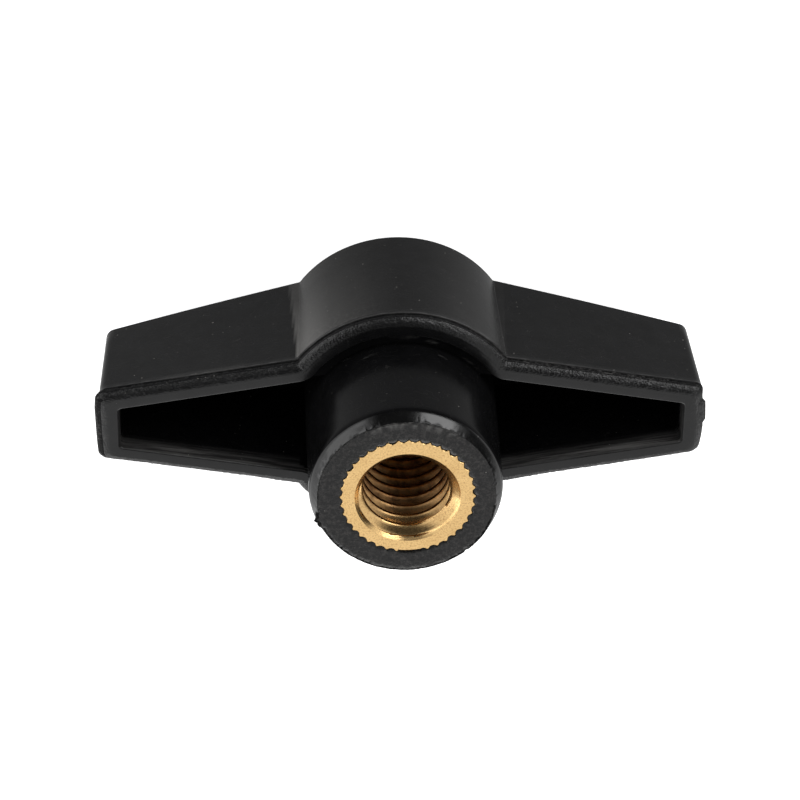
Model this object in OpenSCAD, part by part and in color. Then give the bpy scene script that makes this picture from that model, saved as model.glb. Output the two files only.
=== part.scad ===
// Wing knob: a moulded plastic body with two hollow wings, and a knurled
// brass insert with a blind M10 thread.
//
// The knob stands on its flat head with the boss up. The origin is the
// centre of the head, +Z points out of the thread's mouth, and X runs along
// the wings. All lengths are in millimetres and all angles in degrees.

/* [Thread] */
// Nominal diameter of the internal thread
thread_d = 10; // [6:1:10]
// Pitch of the thread
thread_pitch = 1.5; // [0.75:0.25:1.5]
// Depth of the full bore below the mouth
bore_depth = 15; // [8:0.5:16]
// Angle of the drill point at the bottom of the bore
drill_angle = 118; // [90:1:140]
// How far the countersink reaches beyond the thread's nominal radius
mouth_margin = 0.1; // [0.1:0.1:0.5]

/* [Insert] */
// Diameter of the insert over the crests of its knurl
insert_d = 13.1; // [12.6:0.1:14]
// Length of the insert
insert_len = 19; // [18.5:0.5:22]
// Number of teeth of the straight knurl
knurl_teeth = 40; // [24:1:60]
// Depth of the knurl
knurl_depth = 0.25; // [0.1:0.05:0.4]
// Width of a tooth's crest as a share of the knurl's pitch
knurl_crest = 0.15; // [0.1:0.05:0.6]
// Width of a groove's floor as a share of the knurl's pitch
knurl_root = 0.3; // [0.1:0.05:0.4]

/* [Boss] */
// Diameter of the boss at its end
boss_d = 18.7; // [17:0.1:20]
// Height of the boss above the parting line
boss_h = 13; // [8:0.5:20]
// Draft angle of the boss
boss_draft = 0.5; // [0:0.1:1]
// Height of the chamfer at the end of the boss
chamfer_h = 1.15; // [0.3:0.05:2]
// Width of the chamfer at the end of the boss
chamfer_w = 0.75; // [0.3:0.05:1.2]

/* [Hub] */
// Diameter of the hub at the parting line
hub_d = 25; // [24:0.1:30]
// Height of the hub from the parting line to the flat head
hub_h = 15.6; // [12:0.1:20]
// Radius of the edge round the flat head
head_r = 0.5; // [0.1:0.1:1.5]
// Draft angle of the outer faces of the hub and the wings
draft = 2.6; // [0:0.1:4]

/* [Wings] */
// Length over both wings at the parting line
span = 59.4; // [50:0.1:80]
// Width of a wing where it leaves the hub, at the parting line
root_w = 14.4; // [12:0.1:16]
// Width of a wing at its tip, at the parting line
tip_w = 7.8; // [7:0.1:12]
// Height of a wing's tip above the parting line, towards the head
tip_h = 11.5; // [8:0.1:12]

/* [Rim] */
// Height of the rim's flat land beyond the parting line
land_rise = 1.1; // [1:0.1:2]
// Radius of the shoulder between the parting line and the land
shoulder_r = 1.05; // [0.3:0.05:1.1]
// How far the rim stands out beyond the tip of a wing
tip_lip = 0.4; // [0.1:0.1:0.8]
// Thickness of the wall of the hub and the flanks at the land
wall = 1.9; // [1.5:0.1:2.2]
// Thickness of the wall at the tips at the land
tip_wall = 1.95; // [1.5:0.05:3]
// Thickness of the wall between a pocket and the top of its wing
roof = 2; // [1:0.1:3]
// Draft angle of the walls of the pockets
core_draft = 1; // [0:0.1:2]
// Depth of the shallow recess round the foot of the boss, below the land
recess_depth = 0.7; // [0.3:0.1:2]

/* [Hidden] */
$fn = 96;
REACH = 200;                                    // longer than any side of the knob
CUT = 1;                                        // how far a cutter runs past a face
bore_r = (thread_d - thread_pitch) / 2;         // radius of the tapping drill
mouth_r = thread_d / 2 + mouth_margin;
hub_r = hub_d / 2;
boss_r = boss_d / 2;
parting_z = hub_h;
land_z = parting_z + land_rise;
face_z = parting_z + boss_h;
tip_x = span / 2;
root_x = sqrt(pow(hub_r, 2) - pow(root_w / 2, 2));           // where a flank leaves the hub
taper = atan((root_w - tip_w) / 2 / (tip_x - root_x));       // turn of a flank from X
head_inset = hub_h * tan(draft);
slope_x = sqrt(pow(hub_r - head_inset, 2) - pow(root_w / 2 - head_inset, 2));

// Section of an outer wall with its shoulder, solid to the left of it. The
// parting line is at the origin, x points outwards and y up past the land.
module wall_section(lip = 0) {
    shoulder_x = lip - shoulder_r;
    shoulder_y = land_rise - shoulder_r;
    polygon([
        [-REACH, land_rise], [shoulder_x, land_rise], [shoulder_x, shoulder_y],
        [lip, shoulder_y], [lip, 0], [0, 0],
        [-REACH * tan(draft), -REACH], [-REACH, -REACH]
    ]);
    translate([shoulder_x, shoulder_y])
        circle(r = shoulder_r);
}

// Section of the space inside a wall of the given thickness.
module core_section(thickness) {
    spread = REACH * tan(core_draft);
    translate([-thickness, land_rise])
        polygon([[spread, REACH], [-REACH, REACH], [-REACH, -REACH], [-spread, -REACH]]);
}

// Runs a section straight past a point of the parting line, with the
// section's outward side turned by angle from +X.
module run_past(point, angle)
    translate([point[0], point[1], parting_z])
        rotate([0, 0, angle])
            rotate([90, 0, 0])
                linear_extrude(height = REACH, center = true)
                    children();

// Side view of the half over +X, flat across the hub and sloping down to
// the tip, with its top brought in by inset.
module side_view(inset = 0) {
    tip_z = parting_z - tip_h + inset;
    rotate([90, 0, 0])
        linear_extrude(height = REACH, center = true)
            polygon([
                [0, inset], [slope_x, inset], [tip_x, tip_z],
                [REACH, tip_z], [REACH, REACH], [0, REACH]
            ]);
}

// The +X wing as a solid block that reaches in to the knob's axis.
module wing() {
    flank_point = [tip_x, tip_w / 2];
    intersection() {
        side_view();
        run_past(flank_point, 90 - taper) wall_section();
        mirror([0, 1, 0]) run_past(flank_point, 90 - taper) wall_section();
        run_past([tip_x, 0], 0) wall_section(tip_lip);
    }
}

// The space inside the +X wing.
module pocket() {
    flank_point = [tip_x, tip_w / 2];
    intersection() {
        side_view(roof);
        run_past(flank_point, 90 - taper) core_section(wall);
        mirror([0, 1, 0]) run_past(flank_point, 90 - taper) core_section(wall);
        run_past([tip_x, 0], 0) core_section(tip_wall);
    }
}

// Hub with its shoulder, its draft and the rounded edge of its flat head.
module hub() {
    centre_y = head_r - hub_h;
    centre_x = hub_r + centre_y * tan(draft) - head_r / cos(draft);
    tangent_y = centre_y - head_r * sin(draft);
    translate([0, 0, parting_z])
        rotate_extrude()
            intersection() {
                union() {
                    intersection() {
                        translate([hub_r, 0]) wall_section();
                        translate([0, tangent_y]) square(REACH);
                    }
                    translate([0, -hub_h]) square([centre_x, head_r]);
                    translate([centre_x, centre_y]) circle(r = head_r);
                }
                translate([0, -REACH]) square(2 * REACH);
            }
}

// Boss from its chamfered end down to the given depth, wider by its draft.
module boss(depth) {
    spread = (depth - chamfer_h) * tan(boss_draft);
    translate([0, 0, face_z])
        rotate_extrude()
            polygon([
                [0, 0], [boss_r - chamfer_w, 0], [boss_r, -chamfer_h],
                [boss_r + spread, -depth], [0, -depth]
            ]);
}

// Shallow recess round the foot of the boss, inside the wall of the hub.
module recess() {
    floor_r = hub_r - wall - recess_depth * tan(core_draft);
    mouth = hub_r - wall + CUT * tan(core_draft);
    translate([0, 0, land_z - recess_depth])
        cylinder(h = recess_depth + CUT, r1 = floor_r, r2 = mouth);
}

// Outline of the insert, with its teeth evenly spaced round it.
module knurl_outline() {
    pitch = 360 / knurl_teeth;
    crest_r = insert_d / 2;
    root_r = crest_r - knurl_depth;
    half_crest = knurl_crest * pitch / 2;
    half_root = knurl_root * pitch / 2;
    polygon([
        for (tooth = [0:knurl_teeth - 1])
            for (corner = [
                [root_r, -pitch / 2 + half_root], [crest_r, -half_crest],
                [crest_r, half_crest], [root_r, pitch / 2 - half_root]
            ])
                let (angle = tooth * pitch + corner[1])
                    corner[0] * [cos(angle), sin(angle)]
    ]);
}

// Knurled bar of the insert, flush with the end of the boss or standing
// above it.
module insert_bar(above = 0)
    translate([0, 0, face_z - insert_len])
        linear_extrude(height = insert_len + above)
            knurl_outline();

// Countersunk blind bore with the drill's point at its bottom.
module bore() {
    point_depth = bore_r / tan(drill_angle / 2);
    mouth_depth = mouth_r - bore_r;
    translate([0, 0, face_z])
        rotate_extrude()
            polygon([
                [0, CUT], [mouth_r + CUT, CUT], [bore_r, -mouth_depth],
                [bore_r, -bore_depth], [0, -bore_depth - point_depth]
            ]);
}

module knob_body()
    color("#2b2c2e")
        difference() {
            union() {
                difference() {
                    union() {
                        hub();
                        wing();
                        mirror([1, 0, 0]) wing();
                    }
                    pocket();
                    mirror([1, 0, 0]) pocket();
                    recess();
                }
                boss(boss_h + hub_h - roof);
            }
            insert_bar(CUT);
        }

module threaded_insert()
    color("#d8b066")
        difference() {
            insert_bar();
            bore();
        }

knob_body();
threaded_insert();
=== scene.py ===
import math

import bmesh
import bpy
import numpy as np
from mathutils import Matrix, Vector, noise


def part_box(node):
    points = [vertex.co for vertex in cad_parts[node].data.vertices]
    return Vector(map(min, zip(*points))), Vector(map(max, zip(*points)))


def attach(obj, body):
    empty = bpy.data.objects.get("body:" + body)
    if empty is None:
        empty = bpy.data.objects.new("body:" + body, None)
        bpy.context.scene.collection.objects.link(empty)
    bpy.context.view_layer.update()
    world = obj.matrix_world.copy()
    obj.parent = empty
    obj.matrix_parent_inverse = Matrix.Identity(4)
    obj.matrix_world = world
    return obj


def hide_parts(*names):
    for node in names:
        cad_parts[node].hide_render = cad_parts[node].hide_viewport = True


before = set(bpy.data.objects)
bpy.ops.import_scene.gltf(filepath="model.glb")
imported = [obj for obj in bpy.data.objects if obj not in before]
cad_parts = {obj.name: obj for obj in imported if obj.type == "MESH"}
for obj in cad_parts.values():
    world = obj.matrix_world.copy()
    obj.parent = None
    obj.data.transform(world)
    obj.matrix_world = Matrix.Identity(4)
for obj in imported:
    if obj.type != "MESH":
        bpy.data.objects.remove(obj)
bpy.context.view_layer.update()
mm = 0.001  # shapes are worked out in millimetres
bodyLow, bodyHigh = (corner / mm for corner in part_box("knob_body"))
faceZ = bodyHigh.z  # shapes are drawn with the end face of the boss at zero
print("frame loaded, with the end face at", round(faceZ, 2), "mm")


# The camera.

cameraSetup = {
    "lens": 157.5,  # millimetres on a 36 mm sensor
    "distance": 335.0,  # from the mouth of the thread
    "tilt": 34.07,  # off the thread's axis
    "yaw": 2.70,
    "roll": -0.91,  # on top of the half turn that points the boss down
    "right": 0.62,  # where the mouth of the thread sits off the line of sight
    "up": -9.23,
}


def makeCamera(setup):
    turn = (
        Matrix.Rotation(math.pi, 4, "Z")
        @ Matrix.Rotation(math.radians(-setup["yaw"]), 4, "Y")
        @ Matrix.Rotation(math.radians(-setup["tilt"]), 4, "X")
        @ Matrix.Rotation(math.radians(-setup["roll"]), 4, "Z")
    )
    place = turn @ Vector((-setup["right"], -setup["up"], setup["distance"])) + Vector((0, 0, faceZ))
    data = bpy.data.cameras.new("camera")
    data.lens = setup["lens"]
    data.sensor_width = 36
    data.clip_start = 0.01
    data.clip_end = 20
    camera = bpy.data.objects.new("camera", data)
    camera.matrix_world = Matrix.Translation(place * mm) @ turn
    bpy.context.scene.collection.objects.link(camera)
    bpy.context.scene.camera = camera


makeCamera(cameraSetup)
bpy.context.scene.view_settings.view_transform = "Standard"
print("camera placed")


# Mesh tools.


class Patchwork:
    # Collects grids of points, then welds them into one mesh.
    def __init__(self):
        self.points = []
        self.finish = []
        self.faces = []
        self.zones = []
        self.zone = 0

    def row(self, xyz, finish=(0, 0, 0, 0)):
        start = len(self.points)
        self.points.extend(map(tuple, xyz))
        marks = np.broadcast_to(np.asarray(finish, float), (len(xyz), 4))
        self.finish.extend(map(tuple, marks))
        return list(range(start, start + len(xyz)))

    def strip(self, first, second):
        for a, b, c, d in zip(first, first[1:], second[1:], second):
            self.face((a, b, c, d))

    def face(self, corners):
        self.faces.append(list(corners))
        self.zones.append(self.zone)

    def stack(self, rows):
        for first, second in zip(rows, rows[1:]):
            self.strip(first, second)

    def loft(self, rows):
        self.stack([self.row(*entry) for entry in rows])

    def mirrorAll(self):
        # Adds the copies across X, across Y and across both.
        points, finish = list(self.points), list(self.finish)
        faces = list(zip(self.faces, self.zones))
        for sx, sy in ((-1, 1), (1, -1), (-1, -1)):
            start = len(self.points)
            self.points += [(sx * x, sy * y, z) for x, y, z in points]
            self.finish += finish
            for face, zone in faces:
                self.zone = zone
                moved = [start + i for i in face]
                self.face(moved[::-1] if sx * sy < 0 else moved)

    def weld(self):
        # Points closer than about a ten-thousandth of a millimetre become one. The offset keeps round
        # numbers off the edges of the cells.
        cells, offset = 1e4, 0.237
        keys, kept = {}, []
        renumber = []
        for index, point in enumerate(self.points):
            key = tuple(round(value * cells + offset) for value in point)
            if key not in keys:
                keys[key] = len(kept)
                kept.append(index)
            renumber.append(keys[key])
        faces, zones, seen = [], [], set()
        for face, zone in zip(self.faces, self.zones):
            ring = [renumber[i] for i in face]
            ring = [a for a, b in zip(ring, ring[1:] + ring[:1]) if a != b]
            if len(set(ring)) > 2 and frozenset(ring) not in seen:
                seen.add(frozenset(ring))
                faces.append(ring)
                zones.append(zone)
        points = np.array([self.points[i] for i in kept])
        finish = np.array([self.finish[i] for i in kept])
        return points, faces, finish, zones


def makePiece(name, points, faces, finish, zones, sharpAngle):
    mesh = bpy.data.meshes.new(name)
    mesh.from_pydata(((points + (0, 0, faceZ)) * mm).tolist(), [], faces)
    marks = mesh.attributes.new("finish", "FLOAT_COLOR", "POINT")
    marks.data.foreach_set("color", finish.astype(np.float32).ravel())
    mesh.polygons.foreach_set("material_index", zones)
    editor = bmesh.new()
    editor.from_mesh(mesh)
    bmesh.ops.recalc_face_normals(editor, faces=editor.faces)
    editor.to_mesh(mesh)
    editor.free()
    mesh.shade_smooth()
    mesh.set_sharp_from_angle(angle=math.radians(sharpAngle))
    piece = bpy.data.objects.new(name, mesh)
    bpy.context.scene.collection.objects.link(piece)
    smoother = piece.modifiers.new("normals", "WEIGHTED_NORMAL")
    smoother.keep_sharp = True
    smoother.weight = 50
    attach(piece, "root")
    return piece


# The moulded body: millimetres and degrees, with heights counted from its end face.

bodyShape = {
    "tipLip": 0.4,  # the rim beyond the tip of a wing
    "tipHalf": 3.9,  # half the width of a wing at its tip, at the parting line
    "rootHalf": 7.2,  # and where it leaves the hub
    "tipH": 11.5,
    "crown": 0.14,  # the sloping top is not quite straight
    "partingZ": -13.0,
    "draft": 2.6,
    "tipDraft": 2.0,
    "cornerR": 0.85,  # upright corners at the tips
    "rootR": 0.14,  # fillet between a flank and the hub
    "edgeR": 0.45,  # round the head and the tops of the wings
    "landRise": 1.1,
    "shoulder": (1.05, 0.95),  # its reach and height along the flanks
    "tipShoulder": (1.3, 1.05),
    # The rim is as dull as the sides up to these heights over the parting line.
    "polishFrom": 0.56,
    "farPolishFrom": 0.28,  # over +Y
    "tipPolishFrom": 0.95,  # at the +X tip
    "wall": 1.9,
    "tipWall": 1.95,
    "landEdgeR": 0.12,
    "tipEdgeR": 0.26,
    "pocketCornerR": 0.5,
    "coreDraft": 1.0,
    "roof": 2.0,
    "recessDepth": 0.7,
    "bossR": 9.35,
    "bossDraft": 0.5,
    "chamferH": 1.15,
    "chamferW": 0.75,
    "edgeBreak": 0.16,  # the chamfer's edge at the face
    "lowerBreak": 0.5,  # and the softer one at the side
}
columns = {"tip": 20, "corner": 7, "flank": 84, "root": 9, "arc": 50, "pocketBoss": 41}
seat = {
    "crestR": 6.55,
    "depth": 0.25,
    "teeth": 40,
    "length": 19.0,
    "mouthBreak": 0.1,
    "centre": (-0.145, 0.05),  # the insert sits a little off the boss's axis
}

# Where a point's finish holds its marks: grain, flash that also carries painted sheen and glints, and drag
# that also carries painted light; scuffs are at 2.
grainAt, flashAndSheenAt, dragAndLightAt = 0, 1, 3
# Finishes of the moulding, numbered in the order of its materials.
zoneOf = {"upper": 0, "rim": 1, "boss": 2, "end": 3, "face": 4}

shape = bodyShape
hubR = bodyHigh.y
headZ = bodyLow.z - faceZ
tipX = bodyHigh.x - shape["tipLip"]
partingZ = shape["partingZ"]
landZ = partingZ + shape["landRise"]
recessZ = landZ - shape["recessDepth"]
hubH = partingZ - headZ
faceR = shape["bossR"] - shape["chamferW"]  # edge of the flat end face
draftSlope = math.tan(math.radians(shape["draft"]))
coreSlope = math.tan(math.radians(shape["coreDraft"]))
rootX = math.sqrt(hubR**2 - shape["rootHalf"] ** 2)
taper = math.atan((shape["rootHalf"] - shape["tipHalf"]) / (tipX - rootX))
outward = np.array([math.sin(taper), math.cos(taper)])  # off the flank over +Y
along = np.array([math.cos(taper), -math.sin(taper)])  # along it, to the tip
topInset = hubH * draftSlope
tipInset = hubH * math.tan(math.radians(shape["tipDraft"]))
slopeX = math.sqrt((hubR - topInset) ** 2 - (shape["rootHalf"] - topInset) ** 2)
wingSlope = (hubH - shape["tipH"]) / (tipX - slopeX)
rootStart = columns["tip"] + columns["corner"] + columns["flank"]
arcStart = rootStart + columns["root"]
settleRounds = 6  # for heights that hang on where they fall on the slope of a wing


def arcPoints(centre, radius, start, end, count):
    angles = np.linspace(start, end, count + 1)
    return centre + radius * np.c_[np.cos(angles), np.sin(angles)]


def straight(first, last, count):
    share = np.linspace(0, 1, count + 1)[:, None]
    return first + (last - first) * share


def outline(inset, endInset, cornerR, rootR):
    # A quarter of the plan, from the middle of the tip round to the hub over +Y.
    reach = tipX * outward[0] + shape["tipHalf"] * outward[1] - inset
    tip, hub = tipX - endInset, hubR - inset
    cornerX = tip - cornerR
    corner = np.array([cornerX, (reach - cornerR - cornerX * outward[0]) / outward[1]])
    rootReach = reach + rootR
    root = rootReach * outward + math.sqrt((hub + rootR) ** 2 - rootReach**2) * along
    rootAngle = math.atan2(root[1], root[0])
    flankAngle = math.pi / 2 - taper
    return np.concatenate([
        straight(np.array([tip, 0.0]), np.array([tip, corner[1]]), columns["tip"])[:-1],
        arcPoints(corner, cornerR, 0, flankAngle, columns["corner"])[:-1],
        straight(corner + cornerR * outward, root - rootR * outward, columns["flank"])[:-1],
        arcPoints(root, rootR, flankAngle + math.pi, rootAngle + math.pi, columns["root"])[:-1],
        arcPoints(np.zeros(2), hub, rootAngle, math.pi / 2, columns["arc"]),
    ])


def atHeight(plan, z):
    return np.c_[plan, np.broadcast_to(z, len(plan))]


def topZ(x):
    # The underside as it stands: flat across the hub, then rising to the tip.
    share = np.clip((x - slopeX) / (tipX - slopeX), 0, 1)
    return headZ + share * (hubH - shape["tipH"]) - shape["crown"] * np.sin(math.pi * share)


def sidePlan(depth):
    # The drafted side at a depth under the parting line, one depth for each column.
    share = np.broadcast_to(depth, len(sideFoot))[:, None] / hubH
    return sideFoot + (sideHead - sideFoot) * share


sideFoot = outline(0, 0, shape["cornerR"], shape["rootR"])
sideHead = outline(topInset, tipInset, shape["cornerR"], shape["rootR"])
topDepth = np.full(len(sideFoot), hubH)
for _ in range(settleRounds):
    topDepth = partingZ - topZ(sidePlan(topDepth)[:, 0])
# 1 on the columns of the tip, fading out round its corner.
tipShare = np.interp(np.arange(len(sideFoot)), (columns["tip"], columns["tip"] + columns["corner"]), (1, 0))


def topEdge(turn):
    # The rounded edge of the top: turn is 0 at the side and 90 degrees on the flat.
    edgeR = shape["edgeR"]
    inset = edgeR * (1 - math.cos(turn))
    rise = edgeR * (1 - math.sin(turn))
    shifted = outline(topInset + inset, tipInset + inset, shape["cornerR"] - inset, shape["rootR"] + inset)
    plan = sidePlan(topDepth - rise) + shifted - sideHead
    return atHeight(plan, topZ(plan[:, 0]) + rise)


def rimRow(inset, up):
    # A row of the rim, by its inset from the parting outline and height over it.
    inner = inset / shape["wall"]
    cornerR = shape["cornerR"] + (shape["pocketCornerR"] - shape["cornerR"]) * inner
    endInset = inset + (shape["tipWall"] - shape["wall"]) * max(inner, 0)
    return atHeight(outline(inset, endInset, cornerR, shape["rootR"] + inset), partingZ + up)


# Rows over the parting line: how far out, how high over it, and their share of grain and of flash.
flashRows = ((0.0, -0.4, 0, 0.05), (0.01, -0.24, 0, 0.4), (0.04, -0.13, 0, 0.8), (0.05, -0.05, 0, 1),
             (0.03, 0.0, 0, 0.7))
grooveRows = ((0.03, 0.0, 0, 0.7), (-0.1, 0.04, 0.5, 0.2), (-0.15, 0.1, 1, 0), (-0.12, 0.17, 1, 0),
              (-0.04, 0.24, 1, 0))
edgeTurns = (0, 22, 45, 68, 90)  # degrees of the rows round a rounded edge


def partingRows(table):
    return [(rimRow(-out, up), (grain, flash, 0, 0)) for out, up, grain, flash in table]


def buildOuterSide(work):
    # The side, from the rounded edge of the head to the flash at the parting line.
    rows = [(topEdge(math.radians(turn)),) for turn in edgeTurns[::-1]]
    under = topDepth - shape["edgeR"]
    rows += [(atHeight(sidePlan(under * share), partingZ - under * share),) for share in (0.8, 0.6, 0.4)]
    rows += [(atHeight(sidePlan(depth), partingZ - depth),) for depth in (3, 1.6, 0.9, 0.6)]
    work.loft(rows + partingRows(flashRows))


def buildRim(work):
    # The groove over the parting line, the bead of the shoulder, and the flat land.
    rows = partingRows(grooveRows)
    for turn in np.radians(np.linspace(16, 90, 11)):
        flank, tip = (
            rimRow(reach * (1 - math.cos(turn)), shape["landRise"] - height * (1 - math.sin(turn)))
            for reach, height in (shape["shoulder"], shape["tipShoulder"])
        )
        grain = min(1, 1.6 * math.cos(turn))
        rows.append((flank + (tip - flank) * tipShare[:, None], (grain, 0, 0, 0)))
    # The land's rounded inner edge takes a growing drag mark, which also paints light.
    rows += [(landEdge(math.radians(turn)), (0, 0, 0, turn / 180)) for turn in edgeTurns]
    work.loft(rows)


def landEdge(turn):
    # The rounded edge between the land and the hollow, wider at the tips.
    flankR, tipR = shape["landEdgeR"], shape["tipEdgeR"]
    flank = rimRow(shape["wall"] - flankR * (1 - math.sin(turn)), shape["landRise"])
    tip = rimRow(shape["wall"] - tipR * (1 - math.sin(turn)), shape["landRise"])
    edge = flank + (tip - flank) * tipShare[:, None]
    edge[:, 2] -= (flankR + (tipR - flankR) * tipShare) * (1 - math.cos(turn))
    return edge


def innerPlan(z):
    # The drafted wall inside the rim, as a quarter of the plan.
    depth = landZ - z
    inset, endInset = (shape[wall] + depth * coreSlope for wall in ("wall", "tipWall"))
    return outline(inset, endInset, shape["pocketCornerR"], shape["rootR"] + inset)


def bossRadius(z):
    return shape["bossR"] + (-z - shape["chamferH"]) * math.tan(math.radians(shape["bossDraft"]))


floorShares = (1 / 6, 2 / 6, 3 / 6, 4 / 6, 5 / 6, 1)  # steps from the wall across to the boss


def pocketMeetsBoss(z):
    # Where the pocket's straight wall runs into the boss.
    start = innerPlan(z)[rootStart]
    back = start @ along
    run = back - math.sqrt(back**2 - start @ start + bossRadius(z) ** 2)
    return start, start - along * run


def pocketLoop(z):
    # A quarter of a pocket's wall: tip, flank, straight on to the boss, and the boss.
    wallEnd, onBoss = pocketMeetsBoss(z)
    angle = math.atan2(onBoss[1], onBoss[0])
    return np.concatenate([
        innerPlan(z)[:rootStart],
        straight(wallEnd, onBoss, len(floorShares))[:-1],
        arcPoints(np.zeros(2), bossRadius(z), angle, 0, columns["pocketBoss"]),
    ])


def bossAngles(z):
    # The angles of the boss's columns: those that face the pocket, then those that face the recess.
    onBoss = pocketMeetsBoss(z)[1]
    split = math.atan2(onBoss[1], onBoss[0])
    archCount = columns["root"] + columns["arc"]
    return np.concatenate([
        np.linspace(0, split, columns["pocketBoss"] + 1)[:-1],
        np.linspace(split, math.pi / 2, archCount + 1),
    ])


def buildHollow(work):
    # The wall inside the rim, the recess round the boss, and the pocket in the wing.
    wall = landZ - shape["landEdgeR"]
    atRecess = innerPlan(recessZ)
    # The drag mark on the top of the wall and out over the recess also paints light there.
    work.loft([
        (landEdge(math.pi / 2), (0, 0, 0, 0.5)),
        (atHeight(innerPlan((wall + recessZ) / 2), (wall + recessZ) / 2), (0, 0, 0, 1)),
        (atHeight(atRecess, recessZ), (0, 0, 0, 0.95)),
    ])
    angles = bossAngles(recessZ)[columns["pocketBoss"]:]
    onBoss = bossRadius(recessZ) * np.c_[np.cos(angles), np.sin(angles)]
    arch = atRecess[rootStart:]
    work.loft([(atHeight(arch + (onBoss - arch) * share, recessZ),) for share in (0, *floorShares)])

    deepZ = headZ + shape["roof"]
    mouth, deep = pocketLoop(recessZ), pocketLoop(deepZ)
    floorDepth = np.full(len(mouth), recessZ - deepZ)
    for _ in range(settleRounds):
        share = (floorDepth / (recessZ - deepZ))[:, None]
        x = (mouth + (deep - mouth) * share)[:, 0]
        floorDepth = recessZ - (deepZ + (x - slopeX) * wingSlope)
    rows = []
    # Each row's depth in millimetres, or as a share of the way down, and how dragged it is; the drag mark
    # also paints a lit band that fades deeper.
    for down, level, drag in ((0, 0, 0.95), (0.4, 0, 0.8), (0.8, 0, 0.5), (1.3, 0, 0.2), (1.9, 0, 0),
                              (0, 0.35, 0), (0, 0.65, 0), (0, 1, 0)):
        depth = floorDepth * level + down
        plan = mouth + (deep - mouth) * (depth / (recessZ - deepZ))[:, None]
        marks = np.zeros((len(mouth), 4))
        marks[:rootStart, dragAndLightAt] = drag
        rows.append(work.row(atHeight(plan, recessZ - depth), marks))
    work.stack(rows)
    work.face(rows[-1])


def buildTop(work):
    # The flat disc of the head, the step down to a wing, and the wing's sloping top.
    edge = topEdge(math.pi / 2)
    step = edge[rootStart:arcStart + 1][::-1]  # from the disc down to the wing
    radii = np.hypot(step[:, 0], step[:, 1])
    angles = np.arctan2(step[:, 1], step[:, 0])
    across = (radii - radii[0]) / (radii[-1] - radii[0])
    drop = 1 - np.sqrt(1 - across**2)
    stepColumns = 24
    rows = []
    for i, (radius, angle) in enumerate(zip(radii, angles)):
        turns = angle * np.linspace(1, 0, stepColumns + 1)
        plan = radius * np.c_[np.cos(turns), np.sin(turns)]
        z = headZ + (topZ(plan[:, 0]) - headZ) * drop[i]
        line = np.c_[plan, z]
        line[0] = step[i]
        rows.append(work.row(line))
    work.stack(rows)
    wingRim = work.row(edge[:rootStart + 1])
    work.face(wingRim + rows[-1][1:])
    hubRim = work.row(edge[arcStart:])
    centre = work.row([(0, 0, headZ)])
    work.face(rows[0][::-1] + hubRim[1:] + centre)


# Half a groove of the knurl, from a crest: share of the pitch, share of the depth.
halfGroove = ((0, 0), (0.06, 0.06), (0.14, 0.34), (0.24, 0.7), (0.34, 0.93), (0.5, 1))


def profile(value, table):
    return np.interp(value, *zip(*table))


def toothRadius(angles):
    # The knurl's radius by angle: narrow crests and wide rounded grooves, none of them quite alike.
    place = np.asarray(angles) / (2 * math.pi / seat["teeth"])
    groove = profile(np.abs(place - np.round(place)), halfGroove)
    number = np.floor(place)
    uneven = 1 + 0.14 * np.sin(number * 2.3) + 0.1 * np.sin(number * 5.1)
    return seat["crestR"] - seat["depth"] * groove * uneven


def toothAngles():
    # A quarter turn, ten points to a tooth, with a crest on the X axis.
    half = np.array([share for share, _ in halfGroove])
    share = np.concatenate([half, (1 - half[:-1])[::-1]])[:-1]
    teeth = np.arange(seat["teeth"] // 4)[:, None]
    return np.append(((teeth + share) * 2 * math.pi / seat["teeth"]).ravel(), math.pi / 2)


def buildBoss(work):
    foot = bossAngles(recessZ)
    crown = toothAngles()
    hole = seat["crestR"] * np.c_[np.cos(crown), np.sin(crown)]
    bottom = -shape["chamferH"]
    scuffed = (0, 0, 1, 0)
    rows = []

    def ring(radius, z, blend=1.0, finish=(0, 0, 0, 0)):
        angles = foot + (crown - foot) * blend
        rows.append((atHeight(radius * np.c_[np.cos(angles), np.sin(angles)], z), finish))

    # The side, with its rows close together at the foot, where it is marked.
    for z in (*np.linspace(recessZ, -10.5, 19), -9.6, -8.4, -7, -5.2, -3.6, -2.4, -1.8):
        ring(bossRadius(z), z, (z - recessZ) / (bottom - recessZ))
    # The soft edge between the side and the chamfer.
    lean = math.atan2(shape["chamferW"], shape["chamferH"])
    dx, dz = -math.sin(lean), math.cos(lean)
    broad = shape["lowerBreak"]
    for share in (0, 0.17, 0.34, 0.5, 0.67, 0.84, 1):
        before, after = broad * (1 - share) ** 2, broad * share**2
        ring(shape["bossR"] + dx * after, bottom - before + dz * after)
    chamferStart = len(rows) - 3  # the end of that edge has the chamfer's gloss
    for share in (0.55, 0.78):
        ring(shape["bossR"] + (faceR - shape["bossR"]) * share, bottom * (1 - share))
    # The small break at the face, then the fine line round it.
    small = shape["edgeBreak"]
    ring(faceR - dx * small, -dz * small)
    ring(faceR - 0.004, -0.012)
    faceStart = len(rows) - 1
    for inset, dip in ((0.05, 0.0), (0.09, 0.045), (0.13, 0.045), (0.17, 0.0)):
        ring(faceR - inset, -dip, finish=scuffed)
    for radius in (8.2, 7.7, 7.2, 6.85):
        ring(radius, 0.0, finish=scuffed)
    mouth = seat["mouthBreak"]
    rows.append((atHeight(hole + hole / seat["crestR"] * mouth, 0.0), scuffed))
    rows.append((atHeight(hole, -mouth), (0, 0, 0.6, 0)))
    rows.append((atHeight(hole, -1.0),))
    rows.append((atHeight(hole, -seat["length"]),))
    made = [work.row(*entry) for entry in rows]
    work.stack(made[:chamferStart + 1])
    work.zone = zoneOf["end"]
    work.stack(made[chamferStart:faceStart + 1])
    work.zone = zoneOf["face"]
    work.stack(made[faceStart:])
    centre = work.row([(0, 0, -seat["length"])])
    work.face(made[-1] + centre)


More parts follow.
